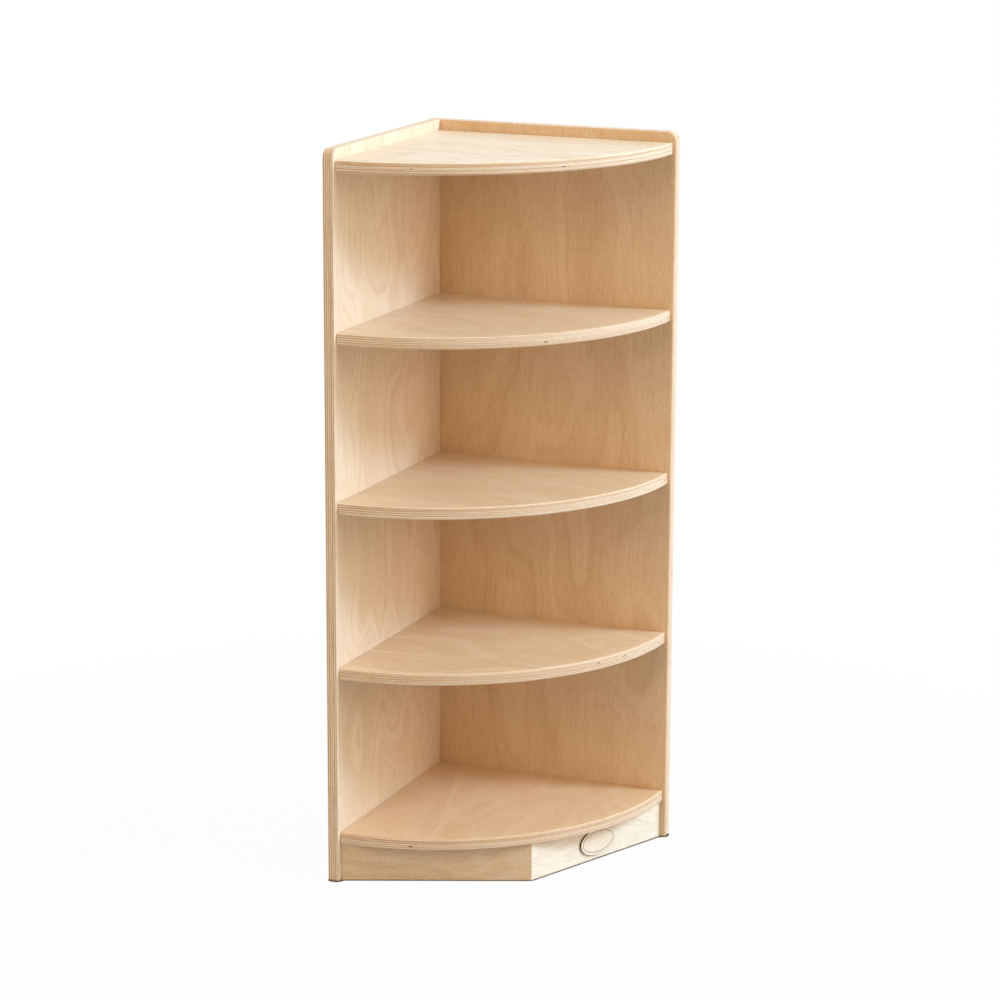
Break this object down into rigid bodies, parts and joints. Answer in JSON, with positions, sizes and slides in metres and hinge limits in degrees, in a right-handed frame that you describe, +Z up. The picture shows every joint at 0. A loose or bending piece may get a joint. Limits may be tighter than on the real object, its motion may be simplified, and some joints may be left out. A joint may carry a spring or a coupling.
{
  "type": "corner shelf unit",
  "caption": "Free-standing corner shelf unit in birch plywood: two upright panels at a right angle, quarter-round shelves between them and a low angled plinth.",
  "frame": {"origin": "on the floor, in the middle of the unit's square footprint", "axes": "+Z up; the rear panel runs along X at +Y, the left panel along Y at -X, and the round fronts of the shelves face +X and -Y"},
  "size_m": [0.4, 0.4, 1.1],
  "materials": {
    "birch_plywood": "satin clear lacquer",
    "block_wood": "bare sawn wood",
    "plug_wood": "satin clear lacquer",
    "plaque_wood": "bare, with a scorched edge",
    "zinc_steel": "zinc plated"
  },
  "bodies": {
    "root": {"left_panel": "birch_plywood", "rear_panel": "birch_plywood", "top_shelf": "birch_plywood", "upper_shelf": "birch_plywood", "middle_shelf": "birch_plywood", "lower_shelf": "birch_plywood", "bottom_shelf": "birch_plywood", "left_plinth": "birch_plywood", "right_plinth": "birch_plywood", "plinth_corner_block": "block_wood", "left_plinth_cleat": "block_wood", "right_plinth_cleat": "block_wood", "plaque": "plaque_wood", "bottom_shelf_left_back_screw": "zinc_steel", "bottom_shelf_left_front_screw": "zinc_steel", "bottom_shelf_rear_back_screw": "zinc_steel", "bottom_shelf_rear_front_screw": "zinc_steel", "lower_shelf_left_back_screw": "zinc_steel", "lower_shelf_left_front_screw": "zinc_steel", "lower_shelf_rear_back_screw": "zinc_steel", "lower_shelf_rear_front_screw": "zinc_steel", "middle_shelf_left_back_screw": "zinc_steel", "middle_shelf_left_front_screw": "zinc_steel", "middle_shelf_rear_back_screw": "zinc_steel", "middle_shelf_rear_front_screw": "zinc_steel", "upper_shelf_left_back_screw": "zinc_steel", "upper_shelf_left_front_screw": "zinc_steel", "upper_shelf_rear_back_screw": "zinc_steel", "upper_shelf_rear_front_screw": "zinc_steel", "top_shelf_left_back_screw": "zinc_steel", "top_shelf_left_front_screw": "zinc_steel", "top_shelf_rear_back_screw": "zinc_steel", "top_shelf_rear_front_screw": "zinc_steel", "corner_low_screw": "zinc_steel", "corner_middle_screw": "zinc_steel", "corner_high_screw": "zinc_steel", "bottom_shelf_left_back_plug": "plug_wood", "bottom_shelf_left_front_plug": "plug_wood", "bottom_shelf_rear_back_plug": "plug_wood", "bottom_shelf_rear_front_plug": "plug_wood", "lower_shelf_left_back_plug": "plug_wood", "lower_shelf_left_front_plug": "plug_wood", "lower_shelf_rear_back_plug": "plug_wood", "lower_shelf_rear_front_plug": "plug_wood", "middle_shelf_left_back_plug": "plug_wood", "middle_shelf_left_front_plug": "plug_wood", "middle_shelf_rear_back_plug": "plug_wood", "middle_shelf_rear_front_plug": "plug_wood", "upper_shelf_left_back_plug": "plug_wood", "upper_shelf_left_front_plug": "plug_wood", "upper_shelf_rear_back_plug": "plug_wood", "upper_shelf_rear_front_plug": "plug_wood", "top_shelf_left_back_plug": "plug_wood", "top_shelf_left_front_plug": "plug_wood", "top_shelf_rear_back_plug": "plug_wood", "top_shelf_rear_front_plug": "plug_wood", "corner_low_plug": "plug_wood", "corner_middle_plug": "plug_wood", "corner_high_plug": "plug_wood"}
  },
  "joints": []
}
